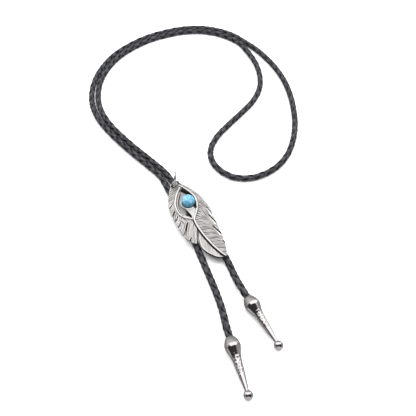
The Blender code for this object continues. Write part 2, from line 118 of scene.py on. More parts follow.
class Wire:
    """A shader socket whose arithmetic adds Math nodes."""

    def __init__(self, nodes, socket):
        self.nodes = nodes
        self.socket = socket

    def joined(self, operation, first, second):
        return self.nodes.node("Math", {"operation": operation}, {0: first, 1: second})

    def __add__(self, other):
        return self.joined("ADD", self, other)

    def __radd__(self, other):
        return self.joined("ADD", other, self)

    def __sub__(self, other):
        return self.joined("SUBTRACT", self, other)

    def __rsub__(self, other):
        return self.joined("SUBTRACT", other, self)

    def __mul__(self, other):
        return self.joined("MULTIPLY", self, other)

    def __rmul__(self, other):
        return self.joined("MULTIPLY", other, self)


class Nodes:
    """The nodes of one shader."""

    def __init__(self, tree):
        self.tree = tree

    def feed(self, socket, value):
        if isinstance(value, Wire):
            self.tree.links.new(value.socket, socket)
        else:
            socket.default_value = value

    def node(self, kind, settings=None, inputs=None, output=0):
        made = self.tree.nodes.new("ShaderNode" + kind)
        for setting, value in (settings or {}).items():
            setattr(made, setting, value)
        for socket, value in (inputs or {}).items():
            self.feed(made.inputs[socket], value)
        return Wire(self, made.outputs[output])

    def attribute(self, name):
        return self.node("Attribute", {"attribute_name": name}, output="Fac")

    def place(self):
        return self.node("TexCoord", output="Object")

    def noise(self, scale, detail, roughness, place=None):
        inputs = {"Vector": place or self.place(), "Scale": scale, "Detail": detail, "Roughness": roughness}
        return self.node("TexNoise", inputs=inputs)

    def between(self, value, low, high):
        """0 below low, 1 above high, smooth between."""
        inputs = {"Value": value, "From Min": low, "From Max": high}
        return self.node("MapRange", {"interpolation_type": "SMOOTHSTEP"}, inputs)

    def blend(self, share, first, second):
        """From the first colour to the second by the share, whose sockets Blender numbers 0, 6 and 7."""
        return self.node("Mix", {"data_type": "RGBA"}, {0: share, 6: first, 7: second}, output=2)

    def bump(self, height, strength, distance):
        return self.node("Bump", inputs={"Height": height, "Strength": strength, "Distance": distance})


class Finish(Nodes):
    """One procedural material: a Principled shader and what feeds it."""

    def __init__(self, name, **constants):
        self.material = bpy.data.materials.new(name)
        self.material.use_nodes = True
        super().__init__(self.material.node_tree)
        self.shader = self.tree.nodes["Principled BSDF"]
        self.set(**constants)

    def set(self, **values):
        for socket, value in values.items():
            self.feed(self.shader.inputs[socket.replace("_", " ")], value)
        return self.material


def colour(red, green, blue):
    return (red, green, blue, 1)


def braided_leather():
    """Charcoal leather laces, grey and a little shiny on top with random lighter patches; painted shade
    makes them nearly black along their edges and in the braid's low places.
    """
    crease_shade_black = colour(0.001, 0.001, 0.0012)
    back_dark = colour(0.028, 0.028, 0.032)
    back_worn = colour(0.056, 0.056, 0.063)
    skin = Finish("braided_leather_look", Specular_IOR_Level=0.32)
    # Painted shade: the braid's low places and the laces' edges turn nearly black
    high = skin.between(skin.attribute("lace_height"), 0.30, 0.90)
    at_edge = skin.between(skin.attribute("lace_edge_shade"), 0.05, 0.60)
    grain = skin.noise(scale=2600, detail=3, roughness=0.6)
    patches = skin.noise(scale=330, detail=2, roughness=0.5)
    back = high * (1 - at_edge)
    back_tone = skin.blend(skin.between(patches, 0.36, 0.66), back_dark, back_worn)
    return skin.set(
        Base_Color=skin.blend(back, crease_shade_black, back_tone), Roughness=0.95 - back * 0.45 + grain * 0.05,
        Normal=skin.bump(grain, strength=0.30, distance=0.0001))


def antiqued_silver():
    """Cast silver-coloured metal: bright from wear on the ridges, dark patina left in the grooves; painted
    shade darkens its walls and shaded places, and painted highlights brighten the lit sides of the stone's
    cup and of the loop.
    """
    silver_low = colour(0.52, 0.50, 0.485)
    silver_high = colour(0.68, 0.66, 0.645)
    bright_wear_and_highlight = colour(0.90, 0.88, 0.86)
    patina_and_shade_black = colour(0.016, 0.013, 0.012)
    metal = Finish("antiqued_silver_look")
    groove = metal.attribute("barb_groove")
    grain = metal.noise(scale=1400, detail=4, roughness=0.6)
    cloud = metal.noise(scale=260, detail=3, roughness=0.5)
    # Dark where patina fills hollows and grooves, and where painted shade falls
    patina_and_shade = metal.attribute("hollow") + groove * 1.10 + metal.attribute("painted_shade") + grain * 0.34 - 0.17
    dark = metal.between(patina_and_shade, 0.14, 0.90)
    # Bright where the metal shows wear and where painted highlights go
    rubbed_and_lit = metal.between(metal.attribute("wear_and_highlight"), 0.04, 0.55)
    silver = metal.blend(rubbed_and_lit, metal.blend(cloud, silver_low, silver_high), bright_wear_and_highlight)
    return metal.set(
        Base_Color=metal.blend(dark, silver, patina_and_shade_black),
        Metallic=1 - dark * 0.55 - rubbed_and_lit * (1 - dark) * 0.35,
        Roughness=0.30 + dark * 0.35 + grain * 0.10,
        Normal=metal.bump(grain * 0.5 - groove * 0.8, strength=0.5, distance=0.00012))


def polished_tip():
    """Polished metal: satin on the collar, with faint dark marks in the hammered dents of the shaft."""
    bright = colour(0.74, 0.70, 0.70)
    duller = colour(0.60, 0.565, 0.565)
    satin_grey = colour(0.40, 0.385, 0.38)
    mark_black = colour(0.05, 0.04, 0.04)
    metal = Finish("polished_tip_look")
    satin = metal.attribute("satin")
    fine = metal.noise(scale=1800, detail=3, roughness=0.55)
    dark = metal.between(metal.attribute("mark") + fine * 0.4, 0.85, 1.15) * 0.40
    tone = metal.blend(satin * 0.7, metal.blend(fine * 0.5, bright, duller), satin_grey)
    return metal.set(
        Base_Color=metal.blend(dark, tone, mark_black), Metallic=1 - dark * 0.3,
        Roughness=0.09 + satin * 0.40 + fine * 0.04 + dark * 0.2,
        Normal=metal.bump(fine, strength=0.12, distance=0.00005))


def bright_wire():
    """Bright drawn wire with faint drawing marks."""
    metal = Finish("bright_wire_look", Metallic=1.0)
    fine = metal.noise(scale=1500, detail=3, roughness=0.5)
    return metal.set(
        Base_Color=metal.blend(fine, colour(0.86, 0.85, 0.83), colour(0.97, 0.96, 0.95)),
        Roughness=0.16 + fine * 0.12, Normal=metal.bump(fine, strength=0.1, distance=0.00004))


def clip_steel():
    """Plain stamped steel with faint rolling lines."""
    metal = Finish("clip_steel_look", Metallic=1.0)
    drawn_out = metal.node("Mapping", inputs={"Vector": metal.place(), "Scale": (0.2, 1.0, 1.0)})
    rolled = metal.noise(scale=2200, detail=3, roughness=0.6, place=drawn_out)
    return metal.set(
        Base_Color=metal.blend(rolled, colour(0.40, 0.40, 0.41), colour(0.58, 0.58, 0.59)),
        Roughness=0.30 + rolled * 0.18, Normal=metal.bump(rolled, strength=0.2, distance=0.00005))


def turquoise():
    """Polished turquoise: sky blue with paler clouds and hair-thin veins, with painted shade darkening the
    edge of its dome.
    """
    deep_blue = colour(0.070, 0.29, 0.46)
    sky_blue = colour(0.20, 0.44, 0.59)
    pale_cloud = colour(0.50, 0.67, 0.78)
    vein_blue = colour(0.03, 0.22, 0.34)
    dome_edge_shade_blue = colour(0.020, 0.17, 0.27)
    gem = Finish("turquoise_look", Specular_IOR_Level=0.35, Coat_IOR=1.5, Coat_Weight=0.3)
    cloud = gem.noise(scale=420, detail=3, roughness=0.55)
    drift = gem.noise(scale=900, detail=4, roughness=0.6)
    cells = {"Vector": gem.place(), "Scale": 330.0, "Randomness": 1.0}
    from_vein = gem.node("TexVoronoi", {"feature": "DISTANCE_TO_EDGE"}, cells)
    tone = gem.blend(gem.between(cloud, 0.38, 0.66), deep_blue, sky_blue)
    tone = gem.blend(gem.between(drift, 0.50, 0.68) * 0.60, tone, pale_cloud)
    tone = gem.blend((1 - gem.between(from_vein, 0.0, 0.05)) * 0.28, tone, vein_blue)
    # Painted shade: darker towards the edge of the dome
    tone = gem.blend(gem.attribute("dome_edge_shade") * 0.6, tone, dome_edge_shade_blue)
    return gem.set(
        Base_Color=tone, Roughness=0.24 + drift * 0.12,
        Normal=gem.bump(drift, strength=0.05, distance=0.0001))


PAPER_WHITE = colour(0.97, 0.98, 1.0)


def pale_floor():
    """Smooth pale paper."""
    paper = Finish(
        "pale_floor_look", Specular_IOR_Level=0.2, Roughness=0.75, Emission_Color=PAPER_WHITE,
        Emission_Strength=0.12)
    tooth = paper.noise(scale=700, detail=2, roughness=0.5)
    return paper.set(Base_Color=paper.blend(tooth, colour(0.86, 0.86, 0.87), colour(0.89, 0.89, 0.895)))


def pale_wall():
    """Plain pale paper, evenly lit."""
    paper = Finish(
        "pale_wall_look", Specular_IOR_Level=0.0, Roughness=1.0, Emission_Color=PAPER_WHITE,
        Emission_Strength=0.88)
    tooth = paper.noise(scale=40, detail=2, roughness=0.5)
    return paper.set(Base_Color=paper.blend(tooth, colour(0.03, 0.03, 0.03), colour(0.035, 0.035, 0.035)))


def only(made):
    """Select one object alone and make it active."""
    bpy.ops.object.select_all(action="DESELECT")
    made.select_set(True)
    bpy.context.view_layer.objects.active = made


def settle(made):
    """Put the object's place and turn into its mesh."""
    only(made)
    bpy.ops.object.transform_apply(location=True, rotation=True, scale=True)


def put_in_scene(name, data):
    """A new object that holds the data."""
    made = bpy.data.objects.new(name, data)
    bpy.context.scene.collection.objects.link(made)
    return made


def solid_from(name, points, faces):
    """A closed object from points and faces, with every face turned outwards."""
    mesh = bpy.data.meshes.new(name)
    mesh.from_pydata(points, [], faces)
    made = put_in_scene(name, mesh)
    face_outwards(made)
    return made


def face_outwards(made):
    """Turn every face of a closed mesh outwards."""
    only(made)
    bpy.ops.object.mode_set(mode="EDIT")
    bpy.ops.mesh.select_all(action="SELECT")
    bpy.ops.mesh.normals_make_consistent(inside=False)
    bpy.ops.object.mode_set(mode="OBJECT")


def smooth_below(made, degrees):
    """Smooth shading over every edge less sharp than this."""
    made.data.shade_smooth()
    only(made)
    bpy.ops.object.shade_smooth_by_angle(angle=math.radians(degrees))


def set_attribute(made, name, values):
    attribute = made.data.attributes.new(name, "FLOAT", "POINT")
    attribute.data.foreach_set("value", np.asarray(values, dtype=np.float32))


def dress(made, name, surface, node):
    """Name a finished piece, give it its surface and let it stand for its solid."""
    made.name = name
    made.data.name = name
    made.data.materials.clear()
    made.data.materials.append(surface)
    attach(made, "root")
    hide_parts(node)


def within_unit(value):
    return min(1.0, max(0.0, value))


def ramp(values, start, end):
    """0 at the start and before it, 1 at the end and past it. The end may lie below the start."""
    return np.clip((values - start) / (end - start), 0, 1)


def bell(values, width):
    """1 where the values are 0, falling off smoothly over the width."""
    return np.exp(-(values / width) ** 2)


def curve_through(points, samples):
    """Points on a smooth curve through the given ones, as in the solids."""
    spots = [Vector(point) for point in points]
    padded = [spots[0] * 2 - spots[1], *spots, spots[-1] * 2 - spots[-2]]
    curve = [spots[0]]
    for back, start, end, ahead in zip(padded, padded[1:], padded[2:], padded[3:]):
        first, span, last = (start - back).length, (end - start).length, (ahead - end).length
        slope_start = ((start - back) / first * span + (end - start) / span * first) / (first + span)
        slope_end = ((end - start) / span * last + (ahead - end) / last * span) / (span + last)
        steps = samples(start, end)
        for step in range(1, steps + 1):
            t = step / steps
            curve.append(
                start * (2 * t ** 3 - 3 * t ** 2 + 1) + slope_start * (t ** 3 - 2 * t ** 2 + t) * span
                + end * (3 * t ** 2 - 2 * t ** 3) + slope_end * (t ** 3 - t ** 2) * span)
    return curve


def tip_direction(heading):
    """From a tip's mouth to its ball. The tip rests on its ridge and its ball."""
    flat = math.cos(TIP_PITCH)
    return Vector((math.cos(heading) * flat, math.sin(heading) * flat, -math.sin(TIP_PITCH)))


def tip_mouth(spot):
    """The middle of a tip's mouth, over its spot on the floor."""
    return Vector((*spot, TIP_RADIUS + RIDGE_PLACE * math.sin(TIP_PITCH)))


def tip_end(spot, heading):
    """The cord's two points at a tip: the bottom of the socket and a short lead outside it."""
    mouth = tip_mouth(spot)
    direction = tip_direction(heading)
    return [mouth + direction * (SOCKET_DEPTH - CLEARANCE), mouth - direction * CORD_LEAD]


def clip_run(side):
    """The cord's two points in the clip, going towards the neck."""
    turn = Matrix.Rotation(FEATHER_HEADING, 4, "Z")
    across = side * CORD_SPACING / 2
    return [turn @ Vector((along, across, CORD_IN_CLIP)) for along in (CLIP_LENGTH / 2, -CLIP_LENGTH / 2)]


def pair_strand(side):
    """One of the two strands that lie side by side between the clip and the neck loop."""
    strand = []
    for place, (x, y, spread) in enumerate(PAIR):
        ahead = PAIR[min(place + 1, len(PAIR) - 1)]
        behind = PAIR[max(place - 1, 0)]
        along = Vector((ahead[0] - behind[0], ahead[1] - behind[1])).normalized()
        reach = side * (CORD_DIAMETER + CLEARANCE + spread) / 2
        strand.append(Vector((x - along.y * reach, y + along.x * reach, CORD_RADIUS)))
    return strand


def lying(points):
    """Places of a cord that lies on the floor."""
    return [Vector((x, y, CORD_RADIUS)) for x, y in points]


def cord_route():
    """The cord's chosen points, from the left tip to the right one."""
    route = tip_end(TIP_LEFT_MOUTH, TIP_LEFT_HEADING) + lying(LEFT_LEG_OUT)
    route += clip_run(-1) + lying(LEFT_LEG_IN)
    route += pair_strand(1) + lying(NECK_LOOP) + pair_strand(-1)[::-1]
    route += lying(RIGHT_LEG_IN) + clip_run(1)[::-1] + lying(RIGHT_LEG_OUT)
    return route + tip_end(TIP_RIGHT_MOUTH, TIP_RIGHT_HEADING)[::-1]


# Braid: six flat laces, three winding each way, each over and under the others in turn
RING_STEP = 0.00042
CORD_SIDES = 36
LACES_EACH_WAY = 3
BRAID_PITCH = 0.0228
BRAID_ROLL = math.radians(30)
BRAID_TURNS = 1.0
LACE_THICKNESS = 0.00034
LACE_RISE = 0.00030
LACE_COVER = 0.90
LACE_FLATNESS = 4
LACE_EDGE_SHADE = 0.28
LACE_SWAY = 0.08
BRAID_CORE = 0.00132
BRAID_BACK = 0.00208
SOCKET_EASE = 0.0006
CORD_OVER_FLOOR = 0.00002
PATH_STRIDE = 8


def braid_field(along, angle):
    """Radius, height over the core and nearness to a lace's edge (where painted shade goes), at places along
    and round the cord.
    """
    tilt = math.atan(math.tau * CORD_RADIUS / BRAID_PITCH)
    spacing = math.tau * CORD_RADIUS / LACES_EACH_WAY * math.cos(tilt)
    half_width = LACE_COVER * spacing / 2
    shift = CORD_RADIUS * math.sin(tilt) * math.cos(tilt)
    base = BRAID_BACK - LACE_THICKNESS - LACE_RISE
    weave = LACES_EACH_WAY * math.tau / BRAID_PITCH
    sway = LACE_SWAY * np.sin(weave * along)
    radius = np.full(np.broadcast(along, angle).shape, BRAID_CORE)
    edge_shade = np.ones_like(radius)
    for lean in (1, -1):
        for lace in range(LACES_EACH_WAY):
            start = math.tau * lace / LACES_EACH_WAY
            turned = angle - lean * math.tau * along / BRAID_PITCH + sway - start
            gap = (turned + math.pi) % math.tau - math.pi
            share = np.abs(gap * CORD_RADIUS * math.cos(tilt) / half_width)
            rise = lean * np.cos(weave * (along + lean * gap * shift))
            crown = np.sqrt(np.clip(1 - share ** LACE_FLATNESS, 0, 1))
            height = np.where(share < 1, base + LACE_RISE * rise + LACE_THICKNESS * crown, 0)
            # Nearness to the top lace's edge, where the leather gets painted shade
            edge_shade = np.where(height > radius, np.clip((share - 1 + LACE_EDGE_SHADE) / LACE_EDGE_SHADE, 0, 1), edge_shade)
            radius = np.maximum(radius, height)
    return radius, (radius - BRAID_CORE) / (BRAID_BACK - BRAID_CORE), edge_shade


def tube_faces(rings, sides):
    """Faces of a tube of rings, each with its points in turn, and its two end caps."""
    rows = np.arange(rings - 1)[:, None] * sides
    columns = np.arange(sides)[None, :]
    following = (columns + 1) % sides
    corners = [rows + columns, rows + sides + columns, rows + sides + following, rows + following]
    last = (rings - 1) * sides
    caps = [list(range(sides)), list(range(last + sides - 1, last - 1, -1))]
    return np.stack(corners, axis=-1).reshape(-1, 4).tolist() + caps


def unit_rows(vectors):
    return vectors / np.linalg.norm(vectors, axis=1)[:, None]


def make_cord():
    """The cord: one closed skin whose radius follows the laces over and under each other."""
    dense = curve_through(cord_route(), lambda a, b: math.ceil((b - a).length / RING_STEP))
    line = [Vector((point.x, point.y, max(point.z, CORD_RADIUS))) for point in dense]
    steps = [0.0]
    for start, end in zip(line, line[1:]):
        steps.append(steps[-1] + (end - start).length)
    along = np.array(steps)
    length = along[-1]
    centre = np.array([tuple(point) for point in line])
    tangent = unit_rows(np.gradient(centre, along, axis=0))
    sideways = unit_rows(np.cross(tangent, (0, 0, 1)))
    upwards = np.cross(sideways, tangent)

    angle = np.linspace(0, math.tau, CORD_SIDES, endpoint=False)[None, :]
    place = along[:, None]
    roll = BRAID_ROLL + math.tau * BRAID_TURNS * place / length
    radius, height, edge_shade = braid_field(place, angle - roll)
    from_end = np.minimum(place, length - place)
    in_socket = np.clip((SOCKET_DEPTH + SOCKET_EASE - from_end) / SOCKET_EASE, 0, 1)
    radius = radius + (np.minimum(radius, CORD_RADIUS) - radius) * in_socket
    outwards = (
        np.cos(angle)[..., None] * sideways[:, None, :] + np.sin(angle)[..., None] * upwards[:, None, :])
    points = (centre[:, None, :] + radius[..., None] * outwards).reshape(-1, 3)
    points[:, 2] = np.maximum(points[:, 2], CORD_OVER_FLOOR)
    cord = solid_from("braided_cord", points.tolist(), tube_faces(len(line), CORD_SIDES))
    cord.data.shade_smooth()
    set_attribute(cord, "lace_height", height.ravel())
    set_attribute(cord, "lace_edge_shade", edge_shade.ravel())
    dress(cord, "braided_cord", braided_leather(), "cord")
    path = [tuple(point) for point in line[::PATH_STRIDE]] + [tuple(line[-1])]
    return cord, path, length


# Feather's casting, and the thin second line inside the eye's left border
FEATHER_VOXEL = 0.00018
WELD_DISTANCE = 0.000001
SOFTEN_SHARE = 0.5
SOFTEN_ROUNDS = 3
SECOND_LINE_INSET = 0.00125
SECOND_LINE_HALF_WIDTH = 0.00026
SECOND_LINE_ROOT = 0.0006
SECOND_LINE_TOP = 0.00235
SECOND_LINE_EDGE = SECOND_LINE_TOP - 0.00015
SECOND_LINE_REACH = (0.13, 0.465)
SECOND_LINE_POINTS = 40

# The feather's areas: heights over its underside and widths in metres, reaches as shares of its length
LINE_CLEAR = 0.0006
RIGHT_VANE_FROM = 0.03
LEAF_FROM = 0.61
EYE_INSET = 0.0004
EYE_TO = 0.5
LEFT_OF_EYE_TO = 0.49
BETWEEN_LINES_WIDTH = 0.0017
CUP_RADIUS = 0.00445
CUP_WIDTH = 0.00033
CUP_BOTTOM = 0.0019
RIM_WIDTH = 0.0009
RIM_REACH = (0.05, 0.72)
RIM_BIN = 0.002
RIM_BINS = 40

# Barbs: grooves that fan out from the lines. Slopes by share of the length, spacings in millimetres
BARB_DEPTH = 0.00014
BARB_NARROWNESS = 2.6
BARB_WAVER = 0.18
WAVERS_PER_METRE = 350
RIGHT_SLOPE = [(0.00, 2.20), (0.45, 0.60)]
RIGHT_CURL = 0.0045
RIGHT_SPACING = 1.30
LEFT_SLOPE = [(0.10, 0.15), (0.20, 0.40), (0.32, 0.82), (0.46, 1.13), (0.75, 1.70)]
LEFT_SPACING = 1.40
LEAF_SLOPE = 1.65
LEAF_SPACING = 1.15
RIGHT_CUT = 1.0
LEFT_CUT = 1.15
LEAF_CUT = 0.65
RIGHT_SEED = 0.0
LEFT_SEED = 14.0
LEAF_SEED = 7.0
CUT_FROM_BARB_TO_BARB = 3.7
CUT_ALONG_A_BARB = 0.30
CUT_MIDDLE = 0.80
CUT_SPREAD = 1.1
CUT_RANGE = (0.30, 1.25)
CUT_FACES_UP = (0.35, 0.70)
CUT_BELOW = (0.00268, 0.00248)
CUT_FROM_LINE = (0.00045, 0.00135)

# Patina and painted light: where the metal is left dark by patina and by painted shade, how dark, and where
# it is bright from wear and from painted highlights
HOLLOW_ROUNDS = 14
HOLLOW_FULL = 0.00010
WALL_FACES = (0.45, 0.15)
WALL_ABOVE = 0.0010
EYE_WALL_SHARE = 0.25
RIM_WALL_SHARE = 0.60
SHADE_TO = 0.0200
FLOOR_HEIGHT = (0.00165, 0.00095)
FLOOR_SHADE = 0.48
UNDER_RIGHT_WIDTH = 0.0012
UNDER_RIGHT_SHADE = 0.9
END_SPOT = (0.0262, -0.0048)
END_SPOT_REACH = (0.0020, 0.0011)
END_SPOT_SHADE = 0.7
HOLE_SPOT = (0.0235, 0.0013)
HOLE_SPOT_REACH = (0.0009, 0.0006)
HOLE_SHADE = 2.0
HOLE_CLEAR = 3
STONE_CLEAR = (0.0049, 0.0052)
STONE_SEAT = CUP_RADIUS - 0.0004
STONE_SEAT_TOP = 0.0030
GAP_START = (10, 30)
GAP_END = (155, 135)
GAP_RING = (0.0036, 0.0057)
GAP_INSET = 0.00055
GAP_SHADOW = 1.2
SHADE_WIDTH = [(0.08, 0.0027), (0.16, 0.0021), (0.22, 0.0015), (0.30, 0.0012)]
SHADE_INSET = (0.00042, 0.00052)
SHADE_FADE = 0.0003
SHADE_END = (0.305, 0.275)
SHADE_STAIN = 1.1
LOOP_ACROSS = -0.00115
LOOP_ALONG = 0.0030
LOOP_FADE = (0.00144, 0.00054)
LOOP_HALF_SPAN = 0.0030
LOOP_INNER = 0.0006
LOOP_OUTER = 0.0010
LOOP_REACH = 0.09
LOOP_BRIGHT_REACH = 0.08
LOOP_ARCH_SHADE = 0.5
LOOP_FOOT_SHADE = 0.35
ARCH_HEIGHT = 0.0027
RIB_SHADE_INSET = 0.00085
RIB_SHADE_FADE = (0.00045, 0.00015)
RIB_FROM = 0.49
RIDGE_FADE = (0.00055, 0.00030)
RIDGE_BOTTOM = 0.0024
PLATE_BOTTOM = 0.0021
PLATE_FROM = 0.0205
CUP_HIGHLIGHT = 0.8
RIDGE_WORN = 0.42
PLATE_WORN = 0.22
LOOP_HIGHLIGHT = 0.3
EDGE_WORN = 0.8
EDGE_WORN_MOST = 0.3
LEFT_HOLLOW_SHARE = 0.45
LEAF_HOLLOW_SHARE = 0.6
EYE_HOLLOW_SHARE = 0.45
BETWEEN_LINES_SHARE = 0.4
RIDGE_CLEAR = 2


def feather_point(along, across, height):
    """A place in the world, from one along and across the feather and over its underside."""
    turn = Matrix.Rotation(FEATHER_HEADING, 4, "Z")
    start = Vector((CLIP_SPOT[0] * FEATHER_LENGTH, CLIP_SPOT[1] * FEATHER_WIDTH, 0))
    return turn @ (Vector((along, across, FEATHER_UNDERSIDE + height)) - start)


def on_feather_frame(points):
    """World points as metres along and across the feather from its head, and over its underside."""
    shifted = points - np.array(feather_point(0, 0, 0))
    along = shifted[:, 0] * math.cos(FEATHER_HEADING) + shifted[:, 1] * math.sin(FEATHER_HEADING)
    across = -shifted[:, 0] * math.sin(FEATHER_HEADING) + shifted[:, 1] * math.cos(FEATHER_HEADING)
    return along, across, shifted[:, 2]


def line_across(table, along):
    """How far across the feather a line of the table lies at each place along it, in metres."""
    xs = [share[0] * FEATHER_LENGTH for share in table]
    ys = [share[1] * FEATHER_WIDTH for share in table]
    return np.interp(along, xs, ys)


def by_share(table, share):
    """The table's second column at each share of the feather's length."""
    return np.interp(share, *zip(*table))


def smoothed(values, edges, rounds):
    """Values averaged with those of their neighbours, this many rounds."""
    count = np.bincount(edges.ravel(), minlength=len(values)).astype(float)
    count[count == 0] = 1
    for _ in range(rounds):
        total = np.zeros_like(values)
        for axis in range(values.shape[1]):
            total[:, axis] = (
                np.bincount(edges[:, 0], values[edges[:, 1], axis], len(values))
                + np.bincount(edges[:, 1], values[edges[:, 0], axis], len(values)))
        values = values * 0.5 + total / count[:, None] * 0.5
    return values


class FeatherSkin:
    """The casting's points, by the feather's length and width, its lines, its areas and its stone."""

    def __init__(self, mesh):
        points = np.empty(len(mesh.vertices) * 3)
        mesh.vertices.foreach_get("co", points)
        normals = np.empty(len(mesh.vertices) * 3, dtype=np.float32)
        mesh.vertex_normals.foreach_get("vector", normals)
        edges = np.empty(len(mesh.edges) * 2, dtype=np.int32)
        mesh.edges.foreach_get("vertices", edges)
        self.points = points.reshape(-1, 3)
        self.normals = normals.reshape(-1, 3).astype(float)
        self.edges = edges.reshape(-1, 2)
        self.along, self.across, self.height = on_feather_frame(self.points)
        self.share = self.along / FEATHER_LENGTH
        self.find_areas()
        self.find_stone()

    def find_areas(self):
        """The two lines, and which area of the feather each point is in."""
        across, share = self.across, self.share
        self.right = line_across(RIGHT_BORDER, self.along)
        beside_eye = share < LEFT_BORDER[-1][0]
        self.left = np.where(beside_eye, line_across(LEFT_BORDER, self.along), self.right)
        self.from_right = self.right - across
        self.from_line = np.minimum(np.abs(across - self.right), np.abs(across - self.left))
        self.in_right = (across > self.right + LINE_CLEAR) & (share > RIGHT_VANE_FROM)
        inside_leaf = (across > line_across(LEAF_EDGE, self.along)) & (across < self.right - LINE_CLEAR)
        self.on_leaf = (share > LEAF_FROM) & inside_leaf
        self.in_left = (across < self.left - LINE_CLEAR) & ~self.on_leaf
        self.in_eye = (across < self.right - EYE_INSET) & (across > self.left + EYE_INSET) & (share < EYE_TO)
        self.between_lines = self.in_eye & (across < self.left + BETWEEN_LINES_WIDTH)
        bins = np.clip((self.along / RIM_BIN).astype(int), 0, RIM_BINS)
        outermost = np.full(RIM_BINS + 1, np.inf)
        np.minimum.at(outermost, bins, across)
        at_edge = (across < outermost[bins] + RIM_WIDTH) & ~self.on_leaf
        self.on_rim = at_edge & (share > RIM_REACH[0]) & (share < RIM_REACH[1])

    def find_stone(self):
        """How far the stone is, the wall of its cup, which gets a painted highlight, and the side where
        painted shadow shows as a dark gap beside it.
        """
        along = self.along - STONE_SPOT[0] * FEATHER_LENGTH
        across = self.across - STONE_SPOT[1] * FEATHER_WIDTH
        self.from_stone = np.hypot(along, across)
        turned = np.degrees(np.arctan2(across, along))
        self.gap_side = ramp(turned, *GAP_START) * ramp(turned, *GAP_END)
        # The cup's wall gets a painted highlight, except on the side of the painted shadow gap
        wall = bell(self.from_stone - CUP_RADIUS, CUP_WIDTH) * (self.height > CUP_BOTTOM)
        self.cup = wall * (1 - self.gap_side)

    def by_vane(self, right, leaf, left):
        """The right vane's value, the leaf's, or else the left vane's, at each point."""
        return np.where(self.in_right, right, np.where(self.on_leaf, leaf, left))

    def spot(self, middle, reach):
        """1 in the middle of an oval spot, falling off over its reach along and across."""
        along = (self.along - middle[0]) / reach[0]
        across = (self.across - middle[1]) / reach[1]
        return np.exp(-(along ** 2 + across ** 2))


def barb_grooves(skin):
    """Depth of the grooves between the barbs: 1 in the middle of a full groove."""
    waver = np.array([noise.noise(Vector(point) * WAVERS_PER_METRE) for point in skin.points]) * BARB_WAVER
    along = skin.along * TO_MILLIMETRES
    beyond = (skin.across - skin.right) * TO_MILLIMETRES
    before = (skin.left - skin.across) * TO_MILLIMETRES
    curl = RIGHT_CURL * beyond ** 3
    right_phase = (along - by_share(RIGHT_SLOPE, skin.share) * beyond - curl) / RIGHT_SPACING + waver
    left_phase = (along - by_share(LEFT_SLOPE, skin.share) * before) / LEFT_SPACING + waver
    leaf_phase = (along - LEAF_SLOPE * before) / LEAF_SPACING + waver
    phase = skin.by_vane(right_phase, leaf_phase, left_phase)
    cut = skin.by_vane(RIGHT_CUT, LEAF_CUT, np.where(skin.in_left, LEFT_CUT, 0.0))
    seed = skin.by_vane(RIGHT_SEED, LEAF_SEED, LEFT_SEED)
    outward = np.where(skin.in_right, beyond, before)
    uneven = np.array([
        noise.noise(Vector((barb * CUT_FROM_BARB_TO_BARB, out * CUT_ALONG_A_BARB, vane)))
        for barb, out, vane in zip(np.round(phase), outward, seed)])
    cut = cut * np.clip(CUT_MIDDLE + uneven * CUT_SPREAD, *CUT_RANGE)
    reached = ramp(skin.normals[:, 2], *CUT_FACES_UP) * ramp(skin.height, *CUT_BELOW)
    reached = reached * ramp(skin.from_line, *CUT_FROM_LINE)
    return (0.5 + 0.5 * np.cos(math.tau * phase)) ** BARB_NARROWNESS * cut * reached


